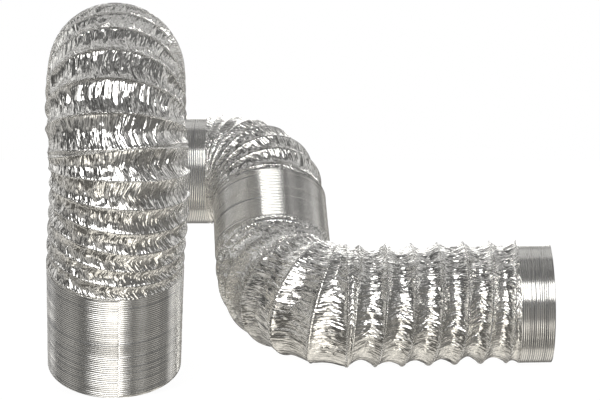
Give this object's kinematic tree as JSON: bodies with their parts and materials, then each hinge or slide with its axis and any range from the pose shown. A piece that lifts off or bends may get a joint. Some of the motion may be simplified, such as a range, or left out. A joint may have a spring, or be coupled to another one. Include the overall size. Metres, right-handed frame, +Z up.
{
  "type": "flexible air duct",
  "caption": "Flexible round air duct of foil bonded over a spring-wire helix, pressed into stacks at both ends and along its length, pulled out and bent between them.",
  "frame": {"origin": "on the floor under the middle of the duct's box", "axes": "+Z up; +X from the arch towards the outlet; +Y from the column towards the bridge behind it"},
  "size_m": [0.5549, 0.5518, 0.3768],
  "materials": {
    "outer_foil": "bright crinkled foil",
    "inner_foil": "bright foil, pressed flat",
    "wire": "drawn spring wire"
  },
  "bodies": {
    "inlet": {"inlet_stack_outer_foil": "outer_foil", "inlet_stack_wire": "wire", "inlet_stack_inner_foil": "inner_foil", "column_foil": "outer_foil", "column_wire": "wire", "arch_foil": "outer_foil", "arch_wire": "wire"},
    "back": {"back_stack_outer_foil": "outer_foil", "back_stack_wire": "wire", "back_stack_inner_foil": "inner_foil", "down_leg_foil": "outer_foil", "down_leg_wire": "wire", "floor_turn_foil": "outer_foil", "floor_turn_wire": "wire"},
    "bridge": {"rise_elbow_foil": "outer_foil", "rise_elbow_wire": "wire", "bridge_stack_outer_foil": "outer_foil", "bridge_stack_wire": "wire", "bridge_stack_inner_foil": "inner_foil", "upper_elbow_foil": "outer_foil", "upper_elbow_wire": "wire"},
    "middle": {"middle_stack_outer_foil": "outer_foil", "middle_stack_wire": "wire", "middle_stack_inner_foil": "inner_foil", "lower_elbow_foil": "outer_foil", "lower_elbow_wire": "wire"},
    "run": {"run_foil": "outer_foil", "run_wire": "wire"},
    "outlet": {"outlet_stack_outer_foil": "outer_foil", "outlet_stack_wire": "wire", "outlet_stack_inner_foil": "inner_foil"}
  },
  "joints": [
    {"name": "arch_flex", "type": "hinge", "parent": "inlet", "child": "back", "pos_m": [-0.16526, -0.18086, 0.28529], "axis": [-0.9808, -0.1641, -0.1051], "range_deg": [-12, 4], "deforming": ["column_foil", "column_wire", "arch_foil", "arch_wire"]},
    {"name": "floor_turn_flex", "type": "hinge", "parent": "back", "child": "bridge", "pos_m": [-0.20541, 0.10336, 0.065], "axis": [0.998, 0.0628, 0.0058], "range_deg": [-10, 8], "deforming": ["floor_turn_foil", "floor_turn_wire"]},
    {"name": "upper_elbow_flex", "type": "hinge", "parent": "bridge", "child": "middle", "pos_m": [-0.04847, 0.18759, 0.19312], "axis": [0.0132, 0.757, -0.6533], "range_deg": [-12, 0], "deforming": ["upper_elbow_foil", "upper_elbow_wire"]},
    {"name": "lower_elbow_flex", "type": "hinge", "parent": "middle", "child": "run", "pos_m": [-0.00524, 0.0262, 0.07849], "axis": [0, -0.7565, 0.654], "range_deg": [-8, 6], "deforming": ["lower_elbow_foil", "lower_elbow_wire"]},
    {"name": "outlet_stretch", "type": "slide", "parent": "run", "child": "outlet", "axis": [0.9987, -0.0471, 0.0209], "range_m": [-0.1, 0.025], "deforming": ["run_foil", "run_wire"]}
  ]
}
